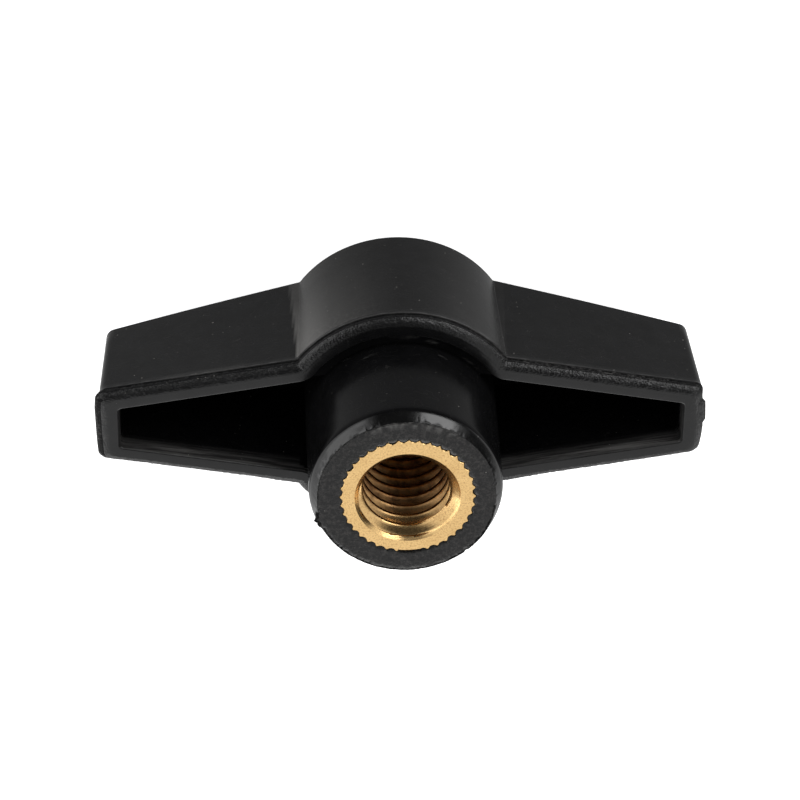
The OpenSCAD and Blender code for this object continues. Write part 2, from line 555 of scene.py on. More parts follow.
bodyWearAndSheen = {
    "flash": 0.05,  # raggedness of the parting line
    # How far the rim swells past a tip, from the -Y corner to the +Y corner.
    "swellPlus": ((-3.9, 0.25), (-3.2, 0.42), (-2, 0.5), (0, 0.45), (2, 0.38), (3.4, 0.3), (3.9, 0.2)),
    "swellMinus": ((-3.9, 0), (-2.8, 0.04), (-1.5, 0.16), (0.8, 0.27), (2, 0.2), (3.4, 0.02), (3.9, -0.1)),
    "gate": (-1.0, 1.15, 0.26),  # stub of the gate on the -X tip: middle, half width, how proud
    # Burr on the edge of the end face, by angle in degrees.
    "burr": ((12.5, 0), (14, 0.3), (15.5, 0.22), (18, 0.56), (20, 0.3), (22, 0.36), (24, 0.15), (26.5, 0)),
    "notch": ((130, 0), (131.5, 0.14), (133, 0.05), (134, 0)),
    "raggedEdge": 0.035,
    "edgeFlash": 0.2,  # flash round the +Y half of the end face
    "chipped": (12, 172),  # degrees over which the edge of the end face is chipped
    # How deep the fine line round the end face is, by angle in degrees.
    "faceLine": ((-180, 0.2), (-125, 0.1), (-97, 0.1), (-85, 0.9), (5, 1), (20, 0.8), (165, 0.7), (180, 0.2)),
    "lightFace": (-125, -65),  # degrees over which that line is rubbed light instead
    # Scrapes round the foot of the boss, with painted glints: both ends as angle, radius and height, then
    # width and strength.
    "footMarks": (
        ((-50, 9.5, -12.5), (-58.6, 9.5, -11.95), 0.1, 0.5),
        ((-65, 9.5, -11.0), (-75.5, 9.5, -11.15), 0.13, 0.7),
        ((-109.9, 9.5, -11.3), (-118.1, 9.5, -10.9), 0.1, 0.6),
        ((-128.6, 9.6, -12.55), (-136, 9.6, -12.55), 0.12, 0.5),
        ((-82, 10.15, -12.6), (-99, 10.15, -12.6), 0.28, 0.4),
        ((-103, 9.85, -12.6), (-110, 9.85, -12.6), 0.16, 0.6),
        ((-64, 10.35, -12.6), (-72, 10.35, -12.6), 0.1, 0.4),
    ),
    "markDepth": 0.04,
    # How full the groove over the flash is, along X.
    "grooveFill": ((-30, 0.3), (-18, 0.4), (-13, 0.3), (-11, -0.2), (-7, -0.1), (0, -0.1), (8, 0), (11, 0.2),
                   (14, 0.4), (18, 0.7), (30, 0.85)),
    "farWear": 0.1,  # how far the edge over +Y is worn back along the wings
    "beadRough": 0.045,  # unevenness of the bead beside the parting line
    # Painted glints and sheen on the bead, the hub's -Y side and the flash, along X.
    "beadGlints": ((-30, 0.4), (-26, 0.6), (-13, 0.6), (-8, 0.3), (0, 0.05), (8, 0.1), (11, 0.08), (13, 0.03),
                 (30, 0.03)),
    "hubSheen": ((-10.2, 0.1), (-8.5, 0.03), (-7.5, 0.1), (-5.5, 0.12), (-3, 0.04), (0, 0.01), (2.5, 0.1),
                (5.5, 0.32), (7, 0.5), (8, 0.85), (9.2, 1.3), (10.2, 1.3)),
    "flashSheen": ((-30, 0.05), (-20, 0.1), (-14, 0.2), (-11, 0.2), (-8, 0.3), (-3, 0.3), (3, 0.2), (10, 0.1),
                  (14, 0.15), (19, 0.35), (22, 0.2), (25, 0)),
    "scraped": ((14, 0), (17, 0.12), (22, 0.08), (25, 0)),  # the +X wing just under its flash
    # Painted sheen on the end of the +X tip.
    "tipSheen": 0.6,  # the dull band on the end of the +X tip
    "smoothGroove": (82, 103),  # degrees where the insert has no teeth
}
wingStart = 12.0  # past this far along X the rim is a wing's, not the hub's


def wobble(points, scale, seed=0.0):
    return np.array([noise.noise(Vector(point) * scale + Vector((seed, 0, 0))) for point in points])


def offRim(points):
    # Directions off the rim: away from the axis on the hub, along Y on the wings.
    away = points[:, :2] / np.hypot(points[:, 0], points[:, 1])[:, None]
    onWing = np.abs(points[:, 0]) > wingStart
    away[onWing] = np.c_[np.zeros(onWing.sum()), np.sign(points[onWing, 1])]
    return away


def polar(points):
    return np.hypot(points[:, 0], points[:, 1]), np.degrees(np.arctan2(points[:, 1], points[:, 0]))


def raggedFlash(points, finish, moved):
    ragged = np.flatnonzero(finish[:, flashAndSheenAt] > 0.1)
    spots = points[ragged]
    push = bodyWearAndSheen["flash"] * finish[ragged, flashAndSheenAt] * (wobble(spots, 1.3) + 0.6 * wobble(spots, 5.1, 9))
    moved[ragged, :2] += offRim(spots) * push[:, None]
    moved[ragged, 2] += 0.5 * push


def fillGroove(points, finish, moved):
    up = points[:, 2] - partingZ
    groove = np.flatnonzero((up > 0.02) & (up < 0.3) & (finish[:, grainAt] > 0.4))
    spots = points[groove]
    fill = np.interp(up[groove], (0.04, 0.1, 0.17, 0.24, 0.3), (0.1, 0.15, 0.12, 0.04, 0))
    fill *= profile(spots[:, 0], bodyWearAndSheen["grooveFill"]) * (1 + 0.8 * wobble(spots, 1.9, 31))
    moved[groove, :2] += offRim(spots) * fill[:, None]


def wearFarEdge(points, finish, moved):
    x, y, z = points.T
    rim = np.interp(z, (partingZ - 1, partingZ, landZ - 0.3, landZ), (0, 1, 1, 0))
    far = np.interp(y, (2, 3.4), (0, 1)) * np.interp(np.abs(x), (11.5, 14), (0, 1))
    moved[:, 1] -= bodyWearAndSheen["farWear"] * rim * far


def swellTips(points, finish, moved):
    # The rim stands out past the tips, most of all at the stub of the gate.
    x, y, z = points.T
    rim = np.interp(z, (partingZ - 0.02, partingZ + 0.05), (0, 1))
    rim *= np.interp(np.abs(x), (tipX - 1.4, tipX - 0.75), (0, 1))
    swell = np.where(x > 0, profile(y, bodyWearAndSheen["swellPlus"]), profile(y, bodyWearAndSheen["swellMinus"]))
    middle, half, proud = bodyWearAndSheen["gate"]
    stub = (x < 0) & (np.abs(y - middle) < half) & (np.abs(x) > tipX - 0.5) & (z < landZ - 0.15)
    moved[:, 0] += np.sign(x) * rim * (swell + proud * stub)


def scoreFace(points, finish, moved):
    # The fine line round the end face is deep in places, and rubbed light where it is shallow.
    z = points[:, 2]
    radius, degrees = polar(points)
    line = np.flatnonzero((z < -0.03) & (z > -0.06) & (radius < faceR - 0.03) & (radius > faceR - 0.2))
    rough = 1 + np.where(degrees[line] > 8, 1.2, 0.3) * wobble(points[line], 2.9, 11)
    moved[line, 2] *= np.clip(profile(degrees[line], bodyWearAndSheen["faceLine"]) * rough, 0.05, 1.2)
    start, end = bodyWearAndSheen["lightFace"]
    rubbed = (degrees > start) & (degrees < end) & (radius > 8.1) & (radius < faceR)
    light = np.flatnonzero((z > -0.001) & rubbed)
    finish[light, flashAndSheenAt] = np.clip(0.3 + 1.5 * wobble(points[light], 2.1, 4), 0, 1)


def markFoot(points, finish, moved):
    # Short scrapes, widest in the middle, on the foot of the boss and the floor round it; their marks also
    # paint glints.
    y, z = points[:, 1], points[:, 2]
    radius = polar(points)[0]
    nearBoss = (radius > 9.4) & (radius < hubR - 1.75) & (y < 0)
    foot = np.flatnonzero(nearBoss & (z > recessZ - 0.01) & (z < -10.4))
    spots = points[foot]
    for firstSpot, lastSpot, width, strength in bodyWearAndSheen["footMarks"]:
        first, last = (
            np.array([r * math.cos(math.radians(turn)), r * math.sin(math.radians(turn)), up])
            for turn, r, up in (firstSpot, lastSpot)
        )
        step = last - first
        share = np.clip((spots - first) @ step / (step @ step), 0, 1)
        off = np.linalg.norm(spots - first - share[:, None] * step, axis=1)
        mark = np.clip(1.4 - off / (width * (0.35 + 0.65 * np.sin(math.pi * share))), 0, 1)
        mark *= strength * np.clip(0.9 + 1.3 * wobble(spots, 3.1, 13), 0.1, 1)
        moved[foot, :2] += spots[:, :2] / radius[foot][:, None] * (bodyWearAndSheen["markDepth"] * mark)[:, None]
        finish[foot, dragAndLightAt] = np.maximum(finish[foot, dragAndLightAt], mark)


def roughenBead(points, finish, moved):
    bead = np.flatnonzero(finish[:, grainAt] > 0.05)
    spots = points[bead]
    rough = bodyWearAndSheen["beadRough"] * finish[bead, grainAt] * (wobble(spots, 2.6, 21) + wobble(spots, 5.5, 23))
    moved[bead, 2] += 0.7 * rough
    moved[bead, 1] += 0.7 * np.sign(spots[:, 1]) * rough
    # The part of the bead next to the parting line gets painted glints, most on the -X wing.
    upper = np.interp(spots[:, 2], (partingZ + 0.3, partingZ + 0.7), (1, 0.05))
    finish[bead, flashAndSheenAt] = upper * profile(spots[:, 0], bodyWearAndSheen["beadGlints"])


def markSheenAndWear(points, finish, moved):
    # Only the marks change: painted sheen on the end of the +X tip, the hub's -Y side and the flash, and a
    # worn band on the +X wing.
    x, y, z = points.T
    radius = polar(points)[0]
    flashFoot = partingZ - 0.45
    onTip = (x > tipX - 0.8) & (np.abs(y) < 3.4)
    tip = np.flatnonzero(onTip & (z > partingZ + 0.25) & (z < partingZ + 0.95))
    finish[tip, flashAndSheenAt] = np.maximum(finish[tip, flashAndSheenAt], bodyWearAndSheen["tipSheen"])
    onHub = (radius > 11.2) & (radius < hubR + 0.05) & (y < 0)
    side = np.flatnonzero(onHub & (z < flashFoot) & (z > headZ + 0.4))
    finish[side, flashAndSheenAt] = profile(x[side], bodyWearAndSheen["hubSheen"])
    atFlash = (z < partingZ + 0.02) & (z > flashFoot)
    flashed = np.flatnonzero(atFlash & (finish[:, flashAndSheenAt] > 0.02) & (finish[:, grainAt] < 0.05))
    finish[flashed, flashAndSheenAt] *= profile(x[flashed], bodyWearAndSheen["flashSheen"])
    scraped = np.flatnonzero((z < partingZ - 0.2) & (z > partingZ - 1.2) & (y < -2) & (x > 13))
    fade = np.interp(z[scraped] - partingZ, (-0.95, -0.55), (0, 1))
    finish[scraped, flashAndSheenAt] = profile(x[scraped], bodyWearAndSheen["scraped"]) * fade


def burrEdge(points, finish, moved):
    # The edge of the end face has a burr, a notch and flash over its +Y half.
    z = points[:, 2]
    radius, degrees = polar(points)
    lip = np.interp(z, (-0.6, -0.12), (0, 1)) * np.interp(radius, (8.3, 8.5), (0, 1)) * (radius < 9.6)
    near = np.flatnonzero(lip > 0)
    spots = points[near]
    out = profile(degrees[near], bodyWearAndSheen["burr"]) - profile(degrees[near], bodyWearAndSheen["notch"])
    out += bodyWearAndSheen["edgeFlash"] * np.interp(degrees[near], (0, 30, 150, 180), (0, 1, 1, 0))
    out += bodyWearAndSheen["raggedEdge"] * (wobble(spots, 2.3, 3) + wobble(spots, 6.0, 5))
    moved[near, :2] += spots[:, :2] / radius[near][:, None] * (out * lip[near])[:, None]
    moved[near, 2] -= 0.05 * np.clip(wobble(spots, 3.7, 7), 0, 1) * lip[near]


def fitInsert(points, finish, moved):
    # The hole takes the form of the knurl, and shifts to where the insert sits.
    x, y, z = points.T
    radius = polar(points)[0]
    inHole = z > -seat["length"] - 0.1
    hole = np.flatnonzero((radius > 1) & (radius < 6.6) & inHole)
    start, end = np.radians(bodyWearAndSheen["smoothGroove"])
    turn = np.arctan2(y[hole], x[hole])
    change = toothRadius(turn) - seat["crestR"]
    change[(turn > start) & (turn < end)] = -0.07
    moved[hole, :2] += points[hole, :2] / radius[hole][:, None] * change[:, None]
    shift = np.interp(radius, (6.7, 8.2), (1, 0)) * inHole
    moved[:, :2] += np.outer(shift, seat["centre"])


def applyWearAndSheen(points, finish):
    # Each kind of wear, and each painted sheen or glint, reads the points as drawn, and changes the moved
    # points or their marks.
    moved = points.copy()
    for wearAndSheen in (raggedFlash, fillGroove, wearFarEdge, swellTips, scoreFace, markFoot, roughenBead, markSheenAndWear,
                 burrEdge, fitInsert):
        wearAndSheen(points, finish, moved)
    return moved


def isChipped(middle):
    radius, angle = math.hypot(middle[0], middle[1]), math.degrees(math.atan2(middle[1], middle[0]))
    first, last = bodyWearAndSheen["chipped"]
    if middle[2] < -0.3 or not 8.4 < radius < 8.8 or not first < angle < last:
        return False
    bite = 0.14 + 0.16 * noise.noise(Vector(middle) * 1.7) + 0.12 * noise.noise(Vector(middle) * 5.3)
    return radius > faceR - bite


def dullEdges(points, faces, zones):
    # The side of the rim and the tips' inner edges are dull, and the end face is chipped round its far half.
    dulled = list(zones)
    for index, face in enumerate(faces):
        middle = points[face].mean(axis=0)
        fromTip, up = tipX - abs(middle[0]), middle[2] - partingZ
        side = "farPolishFrom" if middle[1] > 0 and fromTip > 1 else "polishFrom"
        if middle[0] > 0 and fromTip < 1 and abs(middle[1]) < shape["tipHalf"] - 0.5:
            side = "tipPolishFrom"
        if 1.6 < fromTip < 2.3 and abs(middle[1]) < 2.2 and 0.7 < up < shape["landRise"] - 0.015:
            dulled[index] = zoneOf["boss"]
        elif zones[index] == zoneOf["rim"] and up < shape[side]:
            dulled[index] = zoneOf["upper"]
        if zones[index] > zoneOf["boss"] and isChipped(middle):
            dulled[index] = zoneOf["boss"]
    return dulled


def buildBody():
    work = Patchwork()
    buildOuterSide(work)
    buildTop(work)
    work.zone = zoneOf["rim"]
    buildRim(work)
    work.zone = zoneOf["boss"]
    buildHollow(work)
    buildBoss(work)
    work.mirrorAll()
    points, faces, finish, zones = work.weld()
    zones = dullEdges(points, faces, zones)
    return makePiece("mouldedBody", applyWearAndSheen(points, finish), faces, finish, zones, 32)


body = buildBody()
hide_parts("knob_body")
print("body built:", len(body.data.polygons), "faces")


# The brass insert, in the same units and from the same face.

insertShape = {
    "faceEdge": 0.05,  # break of the outer edge of the face
    "smoothDepth": 0.19,  # where it has no teeth
    "fitGap": 0.004,  # round the teeth, inside the boss
    "faceRings": (6.0, 5.7),
    "mouthR": 5.1,  # countersink at the face
    "mouthCentre": (-0.12, 0.17),
    "mouthFlat": 0.25,  # ring of the face next to it
    "mouthGap": 0.02,  # the thread stays this far inside it
    "softRidge": 0.006,  # the ridges run out softly into it
    "lean": 0.02,  # sideways run of the bore for each millimetre down
    "boreR": 4.25,
    "pitch": 1.5,
    "phase": 0.1,  # where along the axis the helix starts
    "minorR": 4.19,
    "majorR": 5.0,
    "threadDepth": 14.2,
    "runOut": 1.6,  # the last turn fades over this length
    "boreDepth": 15.0,
    "drillAngle": 118.0,
}
threadColumns = 200
# one pitch of the thread: share of the pitch along the axis, share of its height
threadProfile = (
    (0.0, 0.04), (0.04, 0.0), (0.21, 0.0), (0.25, 0.04), (0.35, 0.33), (0.46, 0.67),
    (0.535, 0.91), (0.58, 1.0), (0.67, 1.0), (0.715, 0.91), (0.79, 0.67), (0.90, 0.33),
)


def mouthRadius(angles):
    across, up = insertShape["mouthCentre"]
    return insertShape["mouthR"] + across * np.cos(angles) + up * np.sin(angles)


def threadRows():
    # Rows that follow the helix, cut off by the countersink and the bottom.
    brass = insertShape
    turns = np.linspace(0, 1, threadColumns + 1)
    angles = turns * 2 * math.pi
    mouth = mouthRadius(angles)
    height = brass["majorR"] - brass["minorR"]
    pitchCount = math.ceil(brass["boreDepth"] / brass["pitch"]) + 1
    for lap in range(-1, pitchCount):
        for share, rise in threadProfile:
            z = (turns - lap - share - 1) * brass["pitch"] + brass["phase"]
            z = np.clip(z, -brass["boreDepth"], 0)
            fade = np.clip((z + brass["threadDepth"]) / brass["runOut"], 0, 1)
            thread = brass["boreR"] + (brass["minorR"] + rise * height - brass["boreR"]) * fade
            thread = np.minimum(thread, mouth - brass["mouthGap"])
            cone = mouth + z
            soft = brass["softRidge"] * np.clip(-z / 0.3, 0, 1)
            radius = 0.5 * (thread + cone + np.sqrt((thread - cone) ** 2 + soft))
            yield np.c_[radius * np.cos(angles), radius * np.sin(angles) + brass["lean"] * z, z]


def buildInsert():
    brass = insertShape
    work = Patchwork()
    quarter = toothAngles()
    angles = np.concatenate([quarter[:-1] + turn * math.pi / 2 for turn in range(4)] + [[2 * math.pi]])
    start, end = np.radians(bodyWearAndSheen["smoothGroove"])
    bare = (angles > start) & (angles < end)
    around = np.c_[np.cos(angles), np.sin(angles)]
    radii = np.where(bare, seat["crestR"] - brass["smoothDepth"], toothRadius(angles) - brass["fitGap"])
    knurl = around * radii[:, None] + seat["centre"]
    edge = brass["faceEdge"]
    rows = [atHeight(knurl, z) for z in (-seat["length"], -1.0, -edge)]
    rows += [atHeight(knurl - around * edge, 0.0)]
    rows += [atHeight(around * radius + seat["centre"], 0.0) for radius in brass["faceRings"]]
    made = [work.row(row) for row in rows]
    work.stack(made)
    work.face(made[0][:-1])

    coarse = np.linspace(0, 2 * math.pi, threadColumns + 1)
    circle = np.c_[np.cos(coarse), np.sin(coarse)]
    mouth = mouthRadius(coarse)[:, None]
    inner = work.row(atHeight(circle * (mouth + brass["mouthFlat"]), 0.0))
    outer = made[-1]  # two points for each of the inner ring
    for j in range(threadColumns):
        middle = outer[2 * j + 1]
        work.face((outer[2 * j], middle, inner[j]))
        work.face((middle, inner[j + 1], inner[j]))
        work.face((middle, outer[2 * j + 2], inner[j + 1]))
    rim = work.row(atHeight(circle * mouth, 0.0))
    work.strip(inner, rim)
    thread = [work.row(row) for row in threadRows()]
    work.stack(thread)
    pointDepth = brass["boreR"] / math.tan(math.radians(brass["drillAngle"] / 2))
    point = work.row([(0, -brass["lean"] * brass["boreDepth"], -brass["boreDepth"] - pointDepth)])[0]
    for a, b in zip(thread[-1], thread[-1][1:]):
        work.face((a, b, point))
    points, faces, finish, zones = work.weld()
    return makePiece("brassInsert", points, faces, finish, zones, 40)


insert = buildInsert()
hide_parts("threaded_insert")
print("insert built:", len(insert.data.polygons), "faces")


# Surface effects that the materials share.


class NodeDesk:
    # Short calls for adding and joining nodes in one tree.
    def __init__(self, tree):
        self.tree = tree

    def add(self, kind, feeds=None, **settings):
        node = self.tree.nodes.new(kind)
        for name, value in settings.items():
            setattr(node, name, value)
        for place, value in (feeds or {}).items():
            self.feed(node.inputs[place], value)
        return node

    def feed(self, socket, value):
        if isinstance(value, bpy.types.NodeSocket):
            self.tree.links.new(value, socket)
        else:
            socket.default_value = value

    def math(self, operation, first, second=0.0, third=0.0, clamp=False):
        feeds = {0: first, 1: second, 2: third}
        return self.add("ShaderNodeMath", feeds, operation=operation, use_clamp=clamp).outputs[0]

    def times(self, first, second, clamp=False):
        return self.math("MULTIPLY", first, second, clamp=clamp)

    def stretched(self, vector, factors):
        node = self.add("ShaderNodeVectorMath", {0: vector, 1: factors}, operation="MULTIPLY")
        return node.outputs[0]

    def fit(self, value, fromLow, fromHigh, toLow=0.0, toHigh=1.0):
        node = self.add("ShaderNodeMapRange", {"Value": value, "From Min": fromLow, "From Max": fromHigh,
                                               "To Min": toLow, "To Max": toHigh})
        return node.outputs[0]

    def blend(self, share, first, second):
        node = self.add("ShaderNodeMix", data_type="RGBA")
        self.feed(node.inputs[0], share)
        self.feed(node.inputs[6], first)
        self.feed(node.inputs[7], second)
        return node.outputs[2]

    def noise(self, vector, scale, detail=2.0, roughness=0.5):
        node = self.add("ShaderNodeTexNoise", {"Vector": vector, "Scale": scale, "Detail": detail,
                                               "Roughness": roughness})
        return node.outputs["Fac"]


def newGroup(name, inputs, outputs):
    group = bpy.data.node_groups.new(name, "ShaderNodeTree")
    for socketName, kind, default in inputs:
        way = group.interface.new_socket(name=socketName, in_out="INPUT", socket_type=kind)
        if default is not None:
            way.default_value = default
    for socketName, kind in outputs:
        group.interface.new_socket(name=socketName, in_out="OUTPUT", socket_type=kind)
    desk = NodeDesk(group)
    return group, desk, desk.add("NodeGroupInput").outputs, desk.add("NodeGroupOutput").inputs


def makeMouldGrain():
    # Fine uneven skin of a moulding, with the larger slow waves of the tool's surface.
    group, desk, given, out = newGroup(
        "mouldGrain",
        [("Vector", "NodeSocketVector", None), ("Scale", "NodeSocketFloat", 6.0),
         ("Waves", "NodeSocketFloat", 0.3)],
        [("Height", "NodeSocketFloat"), ("Mottle", "NodeSocketFloat")],
    )
    fine = desk.noise(given["Vector"], given["Scale"], 3.0, 0.6)
    broad = desk.noise(given["Vector"], desk.times(given["Scale"], 0.12), 2.0, 0.5)
    desk.feed(out["Height"], desk.math("ADD", fine, desk.times(broad, given["Waves"])))
    desk.feed(out["Mottle"], broad)
    return group


def makeDust():
    # Sparse small specks: the middles of a Voronoi pattern's cells, kept where the cell's own number is low.
    group, desk, given, out = newGroup(
        "dustSpecks",
        [("Vector", "NodeSocketVector", None), ("Scale", "NodeSocketFloat", 1.5),
         ("Size", "NodeSocketFloat", 0.1), ("Share", "NodeSocketFloat", 0.3)],
        [("Mask", "NodeSocketFloat")],
    )
    uneven = desk.add("ShaderNodeTexNoise", {"Vector": given["Vector"], "Scale": 7.0, "Detail": 1.0})
    bend = desk.stretched(uneven.outputs["Color"], (0.12, 0.12, 0.12))
    bent = desk.add("ShaderNodeVectorMath", {0: given["Vector"], 1: bend}, operation="ADD").outputs[0]
    cells = desk.add("ShaderNodeTexVoronoi", {"Vector": bent, "Scale": given["Scale"]}).outputs
    pick = desk.add("ShaderNodeSeparateColor", {0: cells["Color"]}).outputs
    size = desk.times(given["Size"], desk.math("ADD", pick["Green"], 0.35))
    dot = desk.math("LESS_THAN", cells["Distance"], size)
    chosen = desk.math("LESS_THAN", pick["Red"], given["Share"])
    bright = desk.fit(pick["Blue"], 0.0, 1.0, 0.3, 1.0)
    desk.feed(out["Mask"], desk.times(desk.times(dot, chosen), bright))
    return group


def makeScratches():
    # Thin curved marks: narrow bands of a low noise, broken up by a second one.
    group, desk, given, out = newGroup(
        "fineScratches",
        [("Vector", "NodeSocketVector", None), ("Scale", "NodeSocketFloat", 0.6),
         ("Width", "NodeSocketFloat", 0.004), ("Amount", "NodeSocketFloat", 0.3)],
        [("Mask", "NodeSocketFloat")],
    )
    field = desk.noise(given["Vector"], given["Scale"], 1.0, 0.4)
    bands = desk.math("PINGPONG", desk.times(field, 6.0), 0.5)
    line = desk.fit(bands, given["Width"], 0.0)
    gate = desk.noise(given["Vector"], desk.times(given["Scale"], 1.7), 1.0, 0.5)
    low, high = (desk.math("SUBTRACT", limit, given["Amount"]) for limit in (0.75, 0.8))
    desk.feed(out["Mask"], desk.times(line, desk.fit(gate, low, high)))
    return group


def makeMouldWearAndSheen():
    # Where the moulding is worn, and where glints, sheen and a lit band are painted on it, from the marks
    # that its mesh carries.
    group, desk, given, out = newGroup(
        "mouldWearAndSheen",
        [("Vector", "NodeSocketVector", None), ("Grain", "NodeSocketFloat", 0.0),
         ("FlashAndSheen", "NodeSocketFloat", 0.0), ("Scuff", "NodeSocketFloat", 0.0),
         ("DragAndLight", "NodeSocketFloat", 0.0)],
        [("Scuffed", "NodeSocketFloat"), ("PaintedGlints", "NodeSocketFloat"), ("SheenAndWear", "NodeSocketFloat"),
         ("DraggedAndLit", "NodeSocketFloat"), ("Grit", "NodeSocketFloat")],
    )
    place = given["Vector"]
    # The end face is scuffed all over, unevenly.
    cloudy = desk.fit(desk.noise(place, 2.2, 6.0, 0.85), 0.47, 0.7)
    desk.feed(out["Scuffed"], desk.times(given["Scuff"], cloudy))
    # Painted glints: small light spots, longer than they are high, on the bead and its flash.
    fine = desk.fit(desk.noise(desk.stretched(place, (0.45, 0.8, 1)), 6.0, 2.0, 0.6), 0.5, 0.66)
    sparkle = desk.times(fine, desk.fit(desk.noise(place, 1.3, 3.0, 0.6), 0.35, 0.6, 0.15, 1.0))
    height = desk.add("ShaderNodeSeparateXYZ", {0: place}).outputs[2]
    parting = faceZ + partingZ
    sparkle = desk.times(sparkle, desk.fit(height, parting - 4, parting - 0.5, 0.1, 1.0))
    marked = desk.math("MULTIPLY_ADD", given["Grain"], 0.03, given["FlashAndSheen"])
    desk.feed(out["PaintedGlints"], desk.times(desk.times(sparkle, marked, clamp=True), 0.6))
    # Off the bead the painted sheen is even, spotted only near the parting line.
    even = desk.times(desk.fit(given["Grain"], 0.0, 0.3, 0.5, 0.0), desk.fit(height, 4.0, 13.5, 0.35, 1.0))
    desk.feed(out["SheenAndWear"], desk.times(even, given["FlashAndSheen"]))
    # Drag marks run along the walls of the hollows, and their mark also paints a lit band, strongest at the
    # mouth.
    streak = desk.fit(desk.noise(desk.stretched(place, (0.12, 0.12, 3.2)), 1.0, 4.0, 0.7), 0.42, 0.62)
    streak = desk.math("MULTIPLY_ADD", streak, 0.85, 0.15)
    desk.feed(out["DraggedAndLit"], desk.times(given["DragAndLight"], streak, clamp=True))
    # The bead is gritty.
    desk.feed(out["Grit"], desk.times(desk.noise(place, 5.4, 1.5, 0.5), given["Grain"]))
    return group


mouldGrain = makeMouldGrain()
mouldWearAndSheen = makeMouldWearAndSheen()
dustSpecks = makeDust()
fineScratches = makeScratches()


# The materials.

plasticLook = {
    "upper": {"color": (0.0045, 0.0045, 0.0047), "roughness": 0.16, "specular": 0.044, "grain": 0.5,
              "dust": 0.6, "speck": 0.075},
    "rim": {"color": (0.0042, 0.0042, 0.0044), "roughness": 0.17, "specular": 0.38, "grain": 0.25,
            "dust": 0.2, "speck": 0.055},
    "boss": {"color": (0.0027, 0.0027, 0.0029), "roughness": 0.2, "specular": 0.035, "grain": 0.2,
             "dust": 0.6, "speck": 0.05},
    "end": {"color": (0.0022, 0.0022, 0.0023), "roughness": 0.18, "specular": 0.42, "grain": 0.15,
            "dust": 0.7, "speck": 0.055},
    "face": {"color": (0.0022, 0.0022, 0.0023), "roughness": 0.18, "specular": 0.32, "grain": 0.15,
             "dust": 0.9, "speck": 0.06},
}
markColors = {
    "scuffed": (0.042, 0.039, 0.037),
    # This colour is also painted as glints and sheen, and the next one as a lit band in the hollows.
    "wornAndSheen": (0.13, 0.127, 0.123),
    "draggedAndLit": (0.085, 0.083, 0.081),
    "dusty": (0.25, 0.24, 0.22),
}
brassLook = {
    "color": (0.83, 0.56, 0.25),
    "deep": (0.42, 0.23, 0.1),  # down in the bore
    # Painted shade: the colour that the bore darkens to, further down.
    "warm": (0.6, 0.38, 0.15),
    "speckled": (0.42, 0.23, 0.09),
    # Tarnish, laid on more thickly down the bore, also painted shade.
    "shadeAndTarnish": (0.1, 0.05, 0.025),
    "roughness": 0.2,
}


def opaque(color, lighter=1.0):
    return (*(lighter * channel for channel in color), 1)


def newMaterial(name):
    material = bpy.data.materials.new(name)
    material.use_nodes = True
    tree = material.node_tree
    tree.nodes.clear()
    desk = NodeDesk(tree)
    shader = desk.add("ShaderNodeBsdfPrincipled")
    desk.add("ShaderNodeOutputMaterial", {"Surface": shader.outputs[0]})
    # Coordinates in millimetres from the middle of the flat head.
    place = desk.add("ShaderNodeTexCoord").outputs["Object"]
    return material, desk, shader, desk.stretched(place, (1 / mm, 1 / mm, 1 / mm))


def plasticColor(desk, look, inMm, wearAndSheen, mottle):
    color = desk.blend(desk.fit(mottle, 0.3, 0.7), opaque(look["color"]), opaque(look["color"], 1.4))
    # Scuffs are wear; the glints and the sheen are painted highlights, and the drag marks also paint a lit
    # band.
    marked = (("Scuffed", "scuffed"), ("PaintedGlints", "wornAndSheen"), ("SheenAndWear", "wornAndSheen"), ("DraggedAndLit", "draggedAndLit"))
    for mask, mark in marked:
        color = desk.blend(wearAndSheen[mask], color, opaque(markColors[mark]))
    # Dust and fine scratches lie over everything.
    feeds = {"Vector": inMm, "Scale": 1.15, "Size": look["speck"], "Share": look["dust"]}
    dust = desk.add("ShaderNodeGroup", feeds, node_tree=dustSpecks).outputs["Mask"]
    feeds = {"Vector": inMm, "Scale": 0.55, "Width": 0.03, "Amount": 0.3}
    scratches = desk.add("ShaderNodeGroup", feeds, node_tree=fineScratches).outputs["Mask"]
    light = desk.math("ADD", dust, desk.times(scratches, 0.06), clamp=True)
    return desk.blend(desk.times(light, 0.5), color, opaque(markColors["dusty"]))


def makePlastic(name, look):
    material, desk, shader, inMm = newMaterial(name)
    finish = desk.add("ShaderNodeAttribute", attribute_name="finish").outputs
    parts = desk.add("ShaderNodeSeparateColor", {0: finish["Color"]}).outputs
    marks = {"Grain": parts[0], "FlashAndSheen": parts[1], "Scuff": parts[2], "DragAndLight": finish["Alpha"]}
    skin = desk.add("ShaderNodeGroup", {"Vector": inMm, "Scale": 5.0}, node_tree=mouldGrain).outputs
    wearAndSheen = desk.add("ShaderNodeGroup", {"Vector": inMm, **marks}, node_tree=mouldWearAndSheen).outputs
    desk.feed(shader.inputs["Base Color"], plasticColor(desk, look, inMm, wearAndSheen, skin["Mottle"]))

    smooth, dull = look["roughness"] - 0.04, look["roughness"] + 0.06
    rough = desk.fit(skin["Mottle"], 0.25, 0.75, smooth, dull)
    rough = desk.math("ADD", rough, desk.times(marks["Scuff"], 0.03))
    rough = desk.math("ADD", rough, desk.times(marks["DragAndLight"], 0.3))
    rough = desk.math("ADD", rough, desk.times(marks["Grain"], 0.06), clamp=True)
    desk.feed(shader.inputs["Roughness"], rough)
    shader.inputs["Specular IOR Level"].default_value = look["specular"]

    relief = desk.times(skin["Height"], look["grain"])
    relief = desk.math("MULTIPLY_ADD", wearAndSheen["Grit"], 3.6, relief)
    relief = desk.math("MULTIPLY_ADD", desk.times(skin["Height"], marks["Scuff"]), 0.6, relief)
    bump = desk.add("ShaderNodeBump", {"Height": relief, "Strength": 0.5, "Distance": 0.00006})
    desk.feed(shader.inputs["Normal"], bump.outputs[0])
    return material


